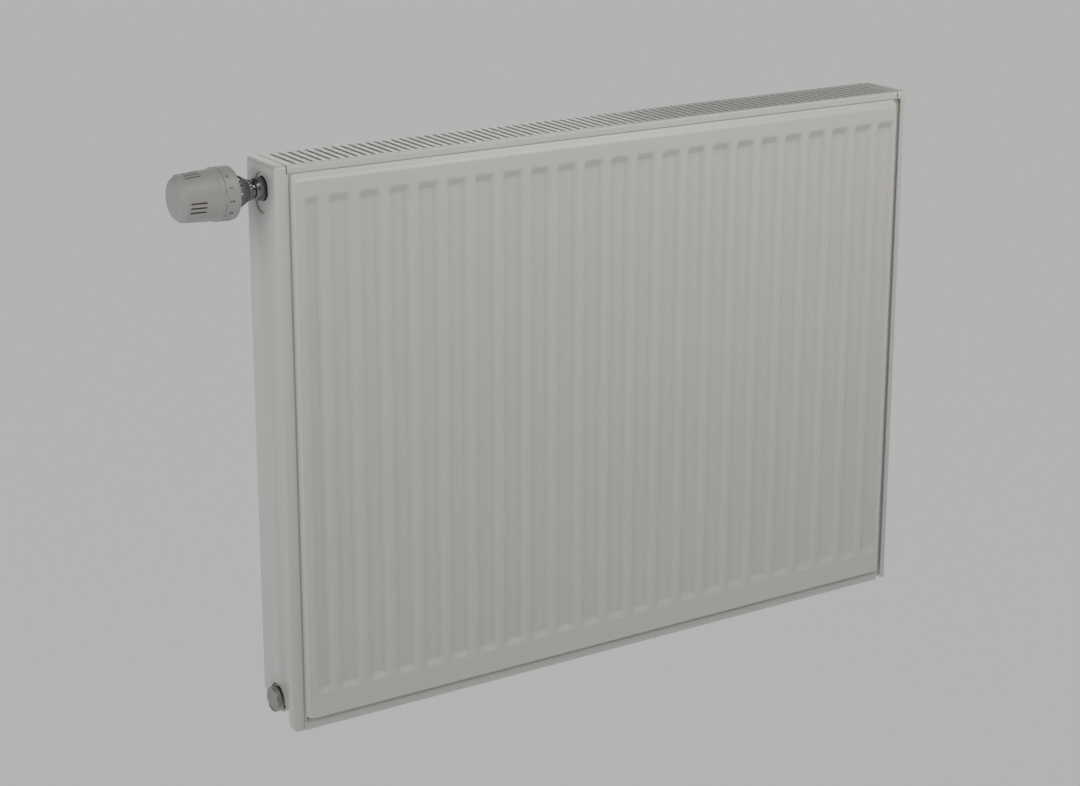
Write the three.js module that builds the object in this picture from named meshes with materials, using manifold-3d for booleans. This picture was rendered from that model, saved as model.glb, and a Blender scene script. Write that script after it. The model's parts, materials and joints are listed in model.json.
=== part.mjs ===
// Panel radiator with a built-in thermostatic valve: two pressed-steel panels, one convector, a slotted
// top grille, side covers, pipe headers, plugs, an air vent and the valve with its turning head.
// Millimetres. X runs along the radiator, the front faces -Y, +Z is up.
// The origin is the centre of the back, in the plane of the hanging lugs' rear faces.
import * as THREE from "three";
import { mergeVertices, toCreasedNormals } from "three/addons/utils/BufferGeometryUtils.js";
import Module from "manifold-3d";

const wasm = await Module();
wasm.setup();

// Overall sizes.
const LENGTH = 800;
const HEIGHT = 600;
const HALF_LENGTH = LENGTH / 2;
const HALF_HEIGHT = HEIGHT / 2;
const LUG_STAND_OFF = 10;
const PANEL_DEPTH_SPACING = 62;
const GAP = 0.3;

// Pressed sheets: a flat rim, and a face raised from it with vertical grooves pressed back into it.
const SHEET = 1.2;
const FRONT_PROUD = 10;
const INNER_PROUD = 5.3;
const GROOVE_DEPTH = 5.3;
const CORNER_RADIUS = 9;
const RIM_SIDE = 15.5;
const RIM_TOP = 10;
const RIM_BOTTOM = 10.4;
const FACE_SLOPE = 3;
const GROOVE_PITCH = LENGTH / 24;
const GROOVE_COUNT = 23;
const GROOVE_FLOOR = 16.7;
const FIRST_GROOVE_FLOOR = 10;
const GROOVE_SLOPE = 4.6;
const GROOVE_TOP = 268;
const GROOVE_BOTTOM = -262;

// Planes across the depth.
const REAR_FACE = -LUG_STAND_OFF;
const RIM_PLANE = REAR_FACE - PANEL_DEPTH_SPACING;
const PANEL_CORE = 2 * SHEET + GAP;
const FRONT_PANEL_BACK = RIM_PLANE + PANEL_CORE + INNER_PROUD;
const REAR_PANEL_FRONT = REAR_FACE - PANEL_CORE - 2 * INNER_PROUD;
const LIP_PLANE = RIM_PLANE - 4;
const COVER_REAR = REAR_FACE + 1;
const MID_DEPTH = (FRONT_PANEL_BACK + REAR_PANEL_FRONT) / 2;
const LIP_WIDTH = 8;

// Pipe tappings.
const TAPPING_INSET = 27;
const TAPPING_HEIGHT = HALF_HEIGHT - TAPPING_INSET;
const HEADER_X = 370;
const HEADER_RADIUS = 13;
const BOSS_RADIUS = 15.5;
const BOSS_END = 3.5;
const TAPPING_RADIUS = 10;
const RISER_X = -330;
const RISER_RADIUS = 8;
const RISER_BEND = 14;
const PIPE_WALL = 1.5;
const CONNECTION_SPACING = 50;
const CONNECTION_TOP = -262;
const CONNECTION_BOTTOM = -299;

const ROUND = 24;
const CREASE_ANGLE = Math.PI / 6;

const material = (color, roughness, metalness) =>
  new THREE.MeshStandardMaterial({ color, roughness, metalness });
const PAINT = () => material(0xf1efe9, 0.38, 0);
const STEEL = () => material(0xb9b9b6, 0.45, 0.8);
const NICKEL = () => material(0x8f8b83, 0.35, 0.9);
const BRASS = () => material(0xb8964f, 0.4, 0.9);
const WHITE_PLASTIC = () => material(0xeceae4, 0.45, 0);
const DARK_CHROME = () => material(0x55534f, 0.25, 1);
const RUBBER = () => material(0x1d1d1d, 0.8, 0);

// A closed manifold solid made from a three.js geometry.
function solid(geometry) {
  const plain = geometry.clone();
  plain.deleteAttribute("normal");
  plain.deleteAttribute("uv");
  const merged = mergeVertices(plain, 1e-4);
  return new wasm.Manifold(
    new wasm.Mesh({
      numProp: 3,
      vertProperties: new Float32Array(merged.attributes.position.array),
      triVerts: new Uint32Array(merged.index.array),
    }),
  );
}

// The three.js geometry of a manifold solid.
function geometryOf(body) {
  const mesh = body.getMesh();
  const geometry = new THREE.BufferGeometry();
  const positions = new THREE.BufferAttribute(new Float32Array(mesh.vertProperties), 3);
  geometry.setAttribute("position", positions);
  geometry.setIndex(new THREE.BufferAttribute(new Uint32Array(mesh.triVerts), 1));
  return toCreasedNormals(geometry, CREASE_ANGLE);
}

const joined = (bodies) => bodies.reduce((whole, body) => whole.add(body));

// A block between two opposite corners.
function block([x0, y0, z0], [x1, y1, z1]) {
  const box = new THREE.BoxGeometry(x1 - x0, y1 - y0, z1 - z0);
  return solid(box.translate((x0 + x1) / 2, (y0 + y1) / 2, (z0 + z1) / 2));
}

// A block whose face at yNarrow is inset by slope on all four sides.
function taperedBlock([x0, z0], [x1, z1], yWide, yNarrow, slope) {
  const box = new THREE.BoxGeometry(x1 - x0, Math.abs(yNarrow - yWide), z1 - z0);
  const points = box.getAttribute("position");
  const narrowSide = Math.sign(yNarrow - yWide);
  for (let i = 0; i < points.count; i++) {
    if (Math.sign(points.getY(i)) !== narrowSide) continue;
    points.setX(i, points.getX(i) - Math.sign(points.getX(i)) * slope);
    points.setZ(i, points.getZ(i) - Math.sign(points.getZ(i)) * slope);
  }
  return solid(box.translate((x0 + x1) / 2, (yWide + yNarrow) / 2, (z0 + z1) / 2));
}

// A plate in the XZ plane with rounded corners, from yFront to yRear.
function roundedPlate(halfX, [low, high], radius, yFront, yRear) {
  const cornerX = halfX - radius;
  const outline = new THREE.Shape();
  outline.absarc(cornerX, high - radius, radius, 0, Math.PI / 2);
  outline.absarc(-cornerX, high - radius, radius, Math.PI / 2, Math.PI);
  outline.absarc(-cornerX, low + radius, radius, Math.PI, Math.PI * 1.5);
  outline.absarc(cornerX, low + radius, radius, Math.PI * 1.5, Math.PI * 2);
  const plate = new THREE.ExtrudeGeometry(outline, {
    depth: yRear - yFront,
    bevelEnabled: false,
    curveSegments: 4,
  });
  return solid(plate.rotateX(Math.PI / 2).translate(0, yRear, 0));
}

// A turned piece: [radius, outward distance] pairs about the local Y axis.
function turned(profile, segments = ROUND) {
  const points = profile.map(([radius, along]) => new THREE.Vector2(radius, along));
  return new THREE.LatheGeometry(points, segments);
}

// A ring or disc of constant radii along the local Y axis.
function ring(inner, outer, from, to, segments = ROUND) {
  const profile = [
    [inner, from],
    [outer, from],
    [outer, to],
    [inner, to],
  ];
  if (inner > 0) profile.push([inner, from]);
  return turned(profile, segments);
}

const radiator = new THREE.Group();

function addMesh(name, geometry, look, parent = radiator) {
  const mesh = new THREE.Mesh(geometry, look());
  mesh.name = name;
  parent.add(mesh);
  return mesh;
}

// ---------------------------------------------------------------- panels

// The troughs of every groove, grown by extra on their sides, from yOpen down to yFloor.
function grooveTroughs(extra, yOpen, yFloor, firstFloor) {
  const troughs = [];
  for (let k = 1; k <= GROOVE_COUNT; k++) {
    const floor = k === 1 ? firstFloor : GROOVE_FLOOR;
    const right = -HALF_LENGTH + k * GROOVE_PITCH + GROOVE_FLOOR / 2 + GROOVE_SLOPE + extra;
    const left = right - floor - 2 * (GROOVE_SLOPE + extra);
    const low = GROOVE_BOTTOM - extra;
    const high = GROOVE_TOP + extra;
    troughs.push(taperedBlock([left, low], [right, high], yOpen, yFloor, GROOVE_SLOPE));
  }
  return joined(troughs);
}

// The raised face of a sheet, made smaller by inset on its four sides.
function raisedFace(inset, yWide, yNarrow) {
  const halfX = HALF_LENGTH - RIM_SIDE - inset;
  const low = -HALF_HEIGHT + RIM_BOTTOM + inset;
  const high = HALF_HEIGHT - RIM_TOP - inset;
  return taperedBlock([-halfX, low], [halfX, high], yWide, yNarrow, FACE_SLOPE);
}

// One pressed sheet with its rim's front face at y = 0 and its raised face at y = -proud.
function pressedSheet(proud, firstFloor) {
  const halfX = HALF_LENGTH - SHEET - GAP;
  const high = HALF_HEIGHT - SHEET - GAP;
  const floor = GROOVE_DEPTH - proud;
  const rim = roundedPlate(halfX, [-HALF_HEIGHT, high], CORNER_RADIUS, 0, SHEET);
  const face = raisedFace(0, SHEET / 2, -proud).subtract(
    grooveTroughs(0, -proud, floor, firstFloor),
  );
  const hollow = raisedFace(SHEET, 2 * SHEET, SHEET - proud).subtract(
    grooveTroughs(SHEET, -proud, floor + SHEET, firstFloor),
  );
  return geometryOf(rim.add(face).subtract(hollow));
}

const frontSheet = pressedSheet(FRONT_PROUD, FIRST_GROOVE_FLOOR);
const plainSheet = pressedSheet(INNER_PROUD, GROOVE_FLOOR);

addMesh("front_panel_outer_sheet", frontSheet, PAINT).position.y = RIM_PLANE;

const frontInner = addMesh("front_panel_inner_sheet", plainSheet, PAINT);
frontInner.rotation.z = Math.PI;
frontInner.position.y = FRONT_PANEL_BACK - INNER_PROUD;

addMesh("rear_panel_inner_sheet", plainSheet, PAINT).position.y = REAR_PANEL_FRONT + INNER_PROUD;

const rearOuter = addMesh("rear_panel_outer_sheet", plainSheet, PAINT);
rearOuter.rotation.z = Math.PI;
rearOuter.position.y = REAR_FACE - INNER_PROUD;

// ---------------------------------------------------------------- convector

const CONVECTOR_START = -316;
const CONVECTOR_WAVES = 21;
const CONVECTOR_DEPTH = 24;
const CONVECTOR_HALF_HEIGHT = 245;
const FIN_THICKNESS = 0.8;
const FIN_CREST = 12;

// One side of the folded fins, offset by side * half the fin thickness.
function finLine(side) {
  const points = [];
  const offset = (side * FIN_THICKNESS) / 2;
  const front = FRONT_PANEL_BACK + GAP + FIN_THICKNESS / 2 + offset;
  const rear = FRONT_PANEL_BACK + GAP + CONVECTOR_DEPTH - FIN_THICKNESS / 2 + offset;
  const wall = (GROOVE_PITCH - 2 * FIN_CREST) / 2;
  for (let k = 0; k < CONVECTOR_WAVES; k++) {
    const x = CONVECTOR_START + k * GROOVE_PITCH;
    points.push(new THREE.Vector2(x + (k === 0 ? 0 : offset), front));
    points.push(new THREE.Vector2(x + FIN_CREST - offset, front));
    points.push(new THREE.Vector2(x + FIN_CREST + wall - offset, rear));
    points.push(new THREE.Vector2(x + 2 * FIN_CREST + wall + offset, rear));
  }
  const end = CONVECTOR_START + CONVECTOR_WAVES * GROOVE_PITCH;
  points.push(new THREE.Vector2(end + offset, front));
  points.push(new THREE.Vector2(end + FIN_CREST / 2, front));
  return points;
}

const finOutline = new THREE.Shape([...finLine(-1), ...finLine(1).reverse()]);
const fins = new THREE.ExtrudeGeometry(finOutline, {
  depth: 2 * CONVECTOR_HALF_HEIGHT,
  bevelEnabled: false,
});
addMesh("convector", fins.translate(0, 0, -CONVECTOR_HALF_HEIGHT), PAINT);

// ---------------------------------------------------------------- side covers

const COVER_BOTTOM = -HALF_HEIGHT + 25.5;
const COVER_TOP_FLANGE = 12;
const COVER_REAR_LIP = 10;
const FRONT_STRIP = 6;
const VALVE_NOTCH_HALF_WIDTH = 15;
const VALVE_NOTCH_ABOVE = 17;
const VALVE_NOTCH_BELOW = 25;
const PLUG_NOTCH_RADIUS = 16.5;

// A cylinder along X through a cover at the given height.
function coverCutter(radius, height) {
  const cylinder = new THREE.CylinderGeometry(radius, radius, 4 * SHEET, ROUND);
  cylinder.rotateZ(Math.PI / 2).translate(-HALF_LENGTH, MID_DEPTH, height);
  return solid(cylinder);
}

// The cover at the -X end: a side plate folded round to a front lip, a top flange and a rear lip,
// with a cut-out for the valve's neck and a half-round one for the plug.
function sideCover() {
  const outside = -HALF_LENGTH;
  const lipBack = LIP_PLANE + SHEET;
  const fromCorner = (width, y0, y1, z0, z1) => block([outside, y0, z0], [outside + width, y1, z1]);
  const cover = joined([
    fromCorner(SHEET, LIP_PLANE, COVER_REAR, COVER_BOTTOM, HALF_HEIGHT),
    fromCorner(SHEET, LIP_PLANE, LIP_PLANE + FRONT_STRIP, -HALF_HEIGHT, HALF_HEIGHT),
    fromCorner(LIP_WIDTH, LIP_PLANE, lipBack, -HALF_HEIGHT, HALF_HEIGHT),
    fromCorner(COVER_TOP_FLANGE, LIP_PLANE, lipBack, HALF_HEIGHT - LIP_WIDTH, HALF_HEIGHT),
    fromCorner(COVER_TOP_FLANGE, LIP_PLANE, COVER_REAR, HALF_HEIGHT - SHEET, HALF_HEIGHT),
    fromCorner(COVER_REAR_LIP, COVER_REAR - SHEET, COVER_REAR, COVER_BOTTOM, HALF_HEIGHT),
  ]);
  const notchTop = TAPPING_HEIGHT + VALVE_NOTCH_ABOVE - VALVE_NOTCH_HALF_WIDTH;
  const notchLow = TAPPING_HEIGHT - VALVE_NOTCH_BELOW + VALVE_NOTCH_HALF_WIDTH;
  const valveNotch = coverCutter(VALVE_NOTCH_HALF_WIDTH, notchTop)
    .add(coverCutter(VALVE_NOTCH_HALF_WIDTH, notchLow))
    .add(
      block(
        [outside - SHEET, MID_DEPTH - VALVE_NOTCH_HALF_WIDTH, notchLow],
        [outside + 2 * SHEET, MID_DEPTH + VALVE_NOTCH_HALF_WIDTH, notchTop],
      ),
    );
  const plugNotch = coverCutter(PLUG_NOTCH_RADIUS, -TAPPING_HEIGHT);
  const outline = roundedPlate(
    HALF_LENGTH,
    [-HALF_HEIGHT, HALF_HEIGHT + 2 * CORNER_RADIUS],
    CORNER_RADIUS,
    LIP_PLANE - 1,
    COVER_REAR + 1,
  );
  return cover.subtract(valveNotch.add(plugNotch)).intersect(outline);
}

const leftCover = sideCover();
addMesh("side_cover_left", geometryOf(leftCover), PAINT);
addMesh("side_cover_right", geometryOf(leftCover.mirror([1, 0, 0])), PAINT);

// ---------------------------------------------------------------- top grille

const GRILLE_HALF_LENGTH = HALF_LENGTH - COVER_TOP_FLANGE - GAP;
const SLOT_COUNT = 78;
const SLOT_PITCH = 9.75;
const SLOT_WIDTH = 5;
const SLOT_FRONT = LIP_PLANE + 7;
const SLOT_REAR = COVER_REAR - 4.5;

function topGrille() {
  const half = GRILLE_HALF_LENGTH;
  const plate = block(
    [-half, LIP_PLANE, HALF_HEIGHT - SHEET],
    [half, COVER_REAR, HALF_HEIGHT],
  );
  const rimLow = HALF_HEIGHT - LIP_WIDTH;
  const frontRim = block([-half, LIP_PLANE, rimLow], [half, LIP_PLANE + SHEET, HALF_HEIGHT]);
  const rearRim = block(
    [-half + COVER_REAR_LIP, COVER_REAR - SHEET, rimLow],
    [half - COVER_REAR_LIP, COVER_REAR, HALF_HEIGHT],
  );
  const slots = [];
  for (let k = 0; k < SLOT_COUNT; k++) {
    const x = (k - (SLOT_COUNT - 1) / 2) * SLOT_PITCH;
    slots.push(
      block(
        [x - SLOT_WIDTH / 2, SLOT_FRONT, HALF_HEIGHT - 2 * SHEET],
        [x + SLOT_WIDTH / 2, SLOT_REAR, HALF_HEIGHT + SHEET],
      ),
    );
  }
  return joined([plate, frontRim, rearRim]).subtract(joined(slots));
}

addMesh("top_grille", geometryOf(topGrille()), PAINT);

// ---------------------------------------------------------------- pipe headers

const WATERWAY_RADIUS = 9;
const INLET_RADIUS = 12;
const INLET_END = -350;

// A cylinder along X from xFrom to xTo at mid depth.
function cylinderX(radius, xFrom, xTo, z) {
  const cylinder = new THREE.CylinderGeometry(radius, radius, xTo - xFrom, ROUND);
  return solid(cylinder.rotateZ(Math.PI / 2).translate((xFrom + xTo) / 2, MID_DEPTH, z));
}

// A cylinder along Y between the two panels, shorter by inset at both ends.
function cylinderY(radius, x, z, inset) {
  const span = REAR_PANEL_FRONT - FRONT_PANEL_BACK - 2 * inset;
  const cylinder = new THREE.CylinderGeometry(radius, radius, span, ROUND);
  return solid(cylinder.translate(x, MID_DEPTH, z));
}

const PLATE_HALF_WIDTH = 17.5;
const PLATE_ABOVE = 18.9;
const PLATE_BELOW = 27.5;
const PLATE_THICKNESS = 4.5;
const SEAL_POCKET_RADIUS = 12.7;

// The upright plate round a tapping that closes the cover's cut-out from behind.
function tappingPlate(z) {
  const outside = -HALF_LENGTH + SHEET + GAP;
  const inside = outside + PLATE_THICKNESS;
  const low = z - PLATE_BELOW + PLATE_HALF_WIDTH;
  const high = z + PLATE_ABOVE - PLATE_HALF_WIDTH;
  return joined([
    cylinderX(PLATE_HALF_WIDTH, outside, inside, low),
    cylinderX(PLATE_HALF_WIDTH, outside, inside, high),
    block(
      [outside, MID_DEPTH - PLATE_HALF_WIDTH, low],
      [inside, MID_DEPTH + PLATE_HALF_WIDTH, high],
    ),
  ]);
}

// The tee at the -X end: it joins both panels and ends in a threaded boss behind the cover.
// The tees at the top have a plate round the boss, and the one with the inlet feeds the valve.
function headerTee(z, { plate = false, inlet = false } = {}) {
  const bossEnd = -HALF_LENGTH + BOSS_END;
  let tee = cylinderY(HEADER_RADIUS, -HEADER_X, z, GAP).add(
    cylinderX(BOSS_RADIUS, bossEnd, -HEADER_X, z),
  );
  let bores = cylinderX(TAPPING_RADIUS, bossEnd - 1, -HEADER_X, z);
  if (plate) {
    tee = tee.add(tappingPlate(z));
    bores = bores.add(cylinderX(SEAL_POCKET_RADIUS, -HALF_LENGTH, bossEnd, z));
  }
  if (inlet) {
    tee = tee.add(cylinderX(INLET_RADIUS, -HEADER_X, INLET_END, z));
    bores = bores.add(cylinderX(RISER_RADIUS - PIPE_WALL, -HEADER_X - 1, INLET_END + 1, z));
  }
  bores = bores.add(cylinderY(WATERWAY_RADIUS, -HEADER_X, z, -1));
  return tee.subtract(bores);
}

const bottomTee = headerTee(-TAPPING_HEIGHT);
const valveTee = headerTee(TAPPING_HEIGHT, { plate: true, inlet: true });
const ventTee = headerTee(TAPPING_HEIGHT, { plate: true });
addMesh("header_tee_top_left", geometryOf(valveTee), PAINT);
addMesh("header_tee_bottom_left", geometryOf(bottomTee), PAINT);
addMesh("header_tee_top_right", geometryOf(ventTee.mirror([1, 0, 0])), PAINT);
addMesh("header_tee_bottom_right", geometryOf(bottomTee.mirror([1, 0, 0])), PAINT);

// The pipe that feeds the valve from the bottom connection: a riser, a quarter bend and a short run.
function supplyRiser() {
  const bore = RISER_RADIUS - PIPE_WALL;
  const bendX = RISER_X - RISER_BEND;
  const bendZ = TAPPING_HEIGHT - RISER_BEND;
  class QuarterBend extends THREE.Curve {
    getPoint(t, target = new THREE.Vector3()) {
      const angle = (Math.PI / 2) * t;
      const x = bendX + RISER_BEND * Math.cos(angle);
      return target.set(x, MID_DEPTH, bendZ + RISER_BEND * Math.sin(angle));
    }
  }
  const bend = (radius) => {
    const section = new THREE.Shape();
    section.absarc(0, 0, radius, 0, Math.PI * 2);
    const settings = { extrudePath: new QuarterBend(), steps: 8, curveSegments: ROUND / 2 };
    return solid(new THREE.ExtrudeGeometry(section, { ...settings, bevelEnabled: false }));
  };
  const upright = (radius, overrun) => {
    const low = CONNECTION_TOP + GAP - overrun;
    const high = bendZ + GAP;
    const pipe = new THREE.CylinderGeometry(radius, radius, high - low, ROUND);
    return solid(pipe.rotateX(Math.PI / 2).translate(RISER_X, MID_DEPTH, (high + low) / 2));
  };
  const whole = (radius, overrun) =>
    joined([
      upright(radius, overrun),
      bend(radius),
      cylinderX(radius, INLET_END + GAP - overrun, bendX + GAP, TAPPING_HEIGHT),
    ]);
  return whole(RISER_RADIUS, 0).subtract(whole(bore, 1));
}

addMesh("supply_riser", geometryOf(supplyRiser()), PAINT);

// The block with the supply and return sockets that open downwards.
function connectionBlock() {
  const socketRadius = 10;
  const margin = 14;
  const body = block(
    [RISER_X - margin, FRONT_PANEL_BACK + GAP, CONNECTION_BOTTOM],
    [RISER_X + CONNECTION_SPACING + margin, REAR_PANEL_FRONT - GAP, CONNECTION_TOP],
  );
  const down = (radius, x, top) => {
    const low = CONNECTION_BOTTOM - 1;
    const bore = new THREE.CylinderGeometry(radius, radius, top - low, ROUND);
    return solid(bore.rotateX(Math.PI / 2).translate(x, MID_DEPTH, (top + low) / 2));
  };
  const returnX = RISER_X + CONNECTION_SPACING;
  const socketTop = CONNECTION_BOTTOM + 22;
  const supply = down(socketRadius, RISER_X, socketTop).add(
    down(RISER_RADIUS - PIPE_WALL, RISER_X, CONNECTION_TOP + 1),
  );
  const back = down(socketRadius, returnX, socketTop).add(
    cylinderY(7, returnX, socketTop - 3, -1),
  );
  return body.subtract(supply.add(back));
}

addMesh("bottom_connection_block", geometryOf(connectionBlock()), NICKEL);

// ---------------------------------------------------------------- hanging lugs

const LUG_SHEET = 2;
const LUG_HALF_HEIGHT = 20;
const LUG_FOOT = 12;
const LUG_HEIGHT = 215;
const LUG_RIDGE = 3.5;

// A hat-shaped strap whose feet stand on two neighbouring ridges of the rear sheet.
function hangingLug() {
  const half = GROOVE_PITCH / 2 + LUG_FOOT / 2;
  const inner = GROOVE_PITCH / 2 - LUG_FOOT / 2 + LUG_SHEET;
  const foot = REAR_FACE + GAP;
  const profile = new THREE.Shape();
  profile.moveTo(-half, foot);
  profile.lineTo(-inner + LUG_SHEET, foot);
  profile.lineTo(-inner + LUG_SHEET, -LUG_SHEET);
  profile.lineTo(inner - LUG_SHEET, -LUG_SHEET);
  profile.lineTo(inner - LUG_SHEET, foot);
  profile.lineTo(half, foot);
  profile.lineTo(half, foot + LUG_SHEET);
  profile.lineTo(inner, foot + LUG_SHEET);
  profile.lineTo(inner, 0);
  profile.lineTo(-inner, 0);
  profile.lineTo(-inner, foot + LUG_SHEET);
  profile.lineTo(-half, foot + LUG_SHEET);
  const strap = new THREE.ExtrudeGeometry(profile, {
    depth: 2 * LUG_HALF_HEIGHT,
    bevelEnabled: false,
  });
  return strap.translate(0, 0, -LUG_HALF_HEIGHT);
}

const lug = hangingLug();
const lugX = HALF_LENGTH - (LUG_RIDGE + 0.5) * GROOVE_PITCH;
for (const [level, z] of [["top", LUG_HEIGHT], ["bottom", -LUG_HEIGHT]]) {
  for (const [side, x] of [["left", -lugX], ["right", lugX]]) {
    addMesh(`hanging_lug_${level}_${side}`, lug, PAINT).position.set(x, 0, z);
  }
}

// ---------------------------------------------------------------- plugs and vent

// Groups whose local +Y points straight out of one tapping, with its zero on the cover's outside.
function tapping(side, z) {
  const group = new THREE.Group();
  group.position.set(side * HALF_LENGTH, MID_DEPTH, z);
  group.rotation.z = (-side * Math.PI) / 2;
  radiator.add(group);
  return group;
}

const THREAD_RADIUS = TAPPING_RADIUS - GAP;
const SEAL_IN = -BOSS_END + GAP;
const SEAL_OUT = SEAL_IN + 2;
const SEAT_FACE = SEAL_OUT + GAP;

const topLeft = tapping(-1, TAPPING_HEIGHT);
const bottomLeft = tapping(-1, -TAPPING_HEIGHT);
const topRight = tapping(1, TAPPING_HEIGHT);
const bottomRight = tapping(1, -TAPPING_HEIGHT);

function addSeal(name, parent) {
  addMesh(name, ring(THREAD_RADIUS + GAP, 12.4, SEAL_IN, SEAL_OUT), RUBBER, parent);
}

function blindPlug() {
  const head = 13.3;
  return turned([
    [0, -20],
    [THREAD_RADIUS - 1, -20],
    [THREAD_RADIUS, -19],
    [THREAD_RADIUS, SEAT_FACE],
    [head, SEAT_FACE],
    [head, 5.6],
    [head - 1, 6.6],
    [0, 6.6],
  ]);
}

addMesh("blind_plug_bottom_left", blindPlug(), NICKEL, bottomLeft);
addSeal("seal_bottom_left", bottomLeft);
addMesh("blind_plug_bottom_right", blindPlug(), NICKEL, bottomRight);
addSeal("seal_bottom_right", bottomRight);

const VENT_SCREW_RADIUS = 2.4;

function ventBody() {
  return turned([
    [VENT_SCREW_RADIUS + 0.1, -20],
    [THREAD_RADIUS, -20],
    [THREAD_RADIUS, SEAT_FACE],
    [13, SEAT_FACE],
    [13, 4.5],
    [12, 5.2],
    [6, 5.2],
    [6, 12.5],
    [VENT_SCREW_RADIUS + 0.1, 12.5],
    [VENT_SCREW_RADIUS + 0.1, -20],
  ]);
}

// The white swivelling outlet: a ring on the vent's neck with a short spout.
function ventOutlet() {
  const collar = solid(ring(6.1, 9.4, 5.5, 12));
  const spout = new THREE.CylinderGeometry(2.4, 2.8, 7, 16);
  spout.rotateX(-Math.PI / 2).translate(0, 8.8, -11.5);
  return collar.add(solid(spout));
}

// The vent's turning screw with its square end.
function ventScrew() {
  const shank = solid(ring(0, VENT_SCREW_RADIUS, -8, 13.2));
  const key = new THREE.BoxGeometry(5, 4, 5);
  return shank.add(solid(key.translate(0, 14.8, 0)));
}

addMesh("vent_plug_body", ventBody(), NICKEL, topRight);
addMesh("vent_outlet", geometryOf(ventOutlet()), WHITE_PLASTIC, topRight);
addMesh("vent_screw", geometryOf(ventScrew()), BRASS, topRight);
addSeal("seal_top_right", topRight);

// ---------------------------------------------------------------- valve insert

const PIN_RADIUS = 2;
const CHAMBER_RADIUS = 6.5;
const INSERT_INNER_END = -24;
const INSERT_HEX_OUT = 9.5;
const NECK_RADIUS = 8.2;
const NECK_END = 27;

function valveInsert() {
  return turned([
    [CHAMBER_RADIUS, INSERT_INNER_END],
    [THREAD_RADIUS, INSERT_INNER_END],
    [THREAD_RADIUS, SEAT_FACE],
    [12.2, SEAT_FACE],
    [12.2, INSERT_HEX_OUT - 1],
    [11.2, INSERT_HEX_OUT],
    [NECK_RADIUS, INSERT_HEX_OUT],
    [NECK_RADIUS, NECK_END],
    [PIN_RADIUS + 0.1, NECK_END],
    [PIN_RADIUS + 0.1, INSERT_HEX_OUT],
    [CHAMBER_RADIUS, INSERT_HEX_OUT],
    [CHAMBER_RADIUS, INSERT_INNER_END],
  ]);
}

// The pin that the head pushes, with the closing disc on its inner end.
function valvePin() {
  return ring(0, PIN_RADIUS, -15.2, 32.7, 16);
}

function valveDisc() {
  return turned([
    [0, -22],
    [3.5, -22],
    [6.2, -18.5],
    [6.2, -15.5],
    [0, -15.5],
  ]);
}

// A coil of round wire about the local Y axis.
function returnSpring() {
  const turns = 5;
  const coilRadius = 4.6;
  const low = -12;
  const rise = 20;
  class Coil extends THREE.Curve {
    getPoint(t, target = new THREE.Vector3()) {
      const angle = 2 * Math.PI * turns * t;
      return target.set(coilRadius * Math.cos(angle), low + rise * t, coilRadius * Math.sin(angle));
    }
  }
  const wire = new THREE.Shape();
  wire.absarc(0, 0, 0.6, 0, Math.PI * 2);
  return new THREE.ExtrudeGeometry(wire, {
    extrudePath: new Coil(),
    steps: turns * 12,
    curveSegments: 3,
    bevelEnabled: false,
  });
}

addMesh("valve_insert", valveInsert(), NICKEL, topLeft);
addSeal("seal_top_left", topLeft);
addMesh("valve_pin", valvePin(), STEEL, topLeft);
addMesh("valve_disc", valveDisc(), RUBBER, topLeft);
addMesh("return_spring", returnSpring(), STEEL, topLeft);

// ---------------------------------------------------------------- thermostatic head

const NUT_START = 12;
const NUT_END = 31;
const NUT_RIBS = 24;
const BASE_RADIUS = 27;
const BASE_END = 48;
const SLEEVE_RADIUS = 18.5;
const SENSOR_RADIUS = 15.9;
const HANDLE_BORE = 23.2;
const COLLAR_RADIUS = HANDLE_BORE - 0.5;
const HANDLE_END = 94;

// The ribbed cone-shaped union nut: every second column of the turned shape is pulled in.
function unionNut() {
  const columns = 2 * NUT_RIBS;
  const nut = turned(
    [
      [NECK_RADIUS + GAP, NUT_START],
      [10.8, NUT_START],
      [17, 27.5],
      [17.4, NUT_END],
      [15, NUT_END],
      [15, NECK_END + GAP],
      [NECK_RADIUS + GAP, NECK_END + GAP],
      [NECK_RADIUS + GAP, NUT_START],
    ],
    columns,
  );
  const points = nut.getAttribute("position");
  for (let i = 0; i < points.count; i++) {
    const radius = Math.hypot(points.getX(i), points.getZ(i));
    const column = Math.round((Math.atan2(points.getX(i), points.getZ(i)) / (2 * Math.PI)) * columns);
    const outer = radius > 15.5 || Math.abs(radius - 10.8) < 0.1;
    if (outer && Math.abs(column) % 2 === 1) {
      points.setX(i, points.getX(i) * (1 - 0.9 / radius));
      points.setZ(i, points.getZ(i) * (1 - 0.9 / radius));
    }
  }
  return nut;
}

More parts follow.
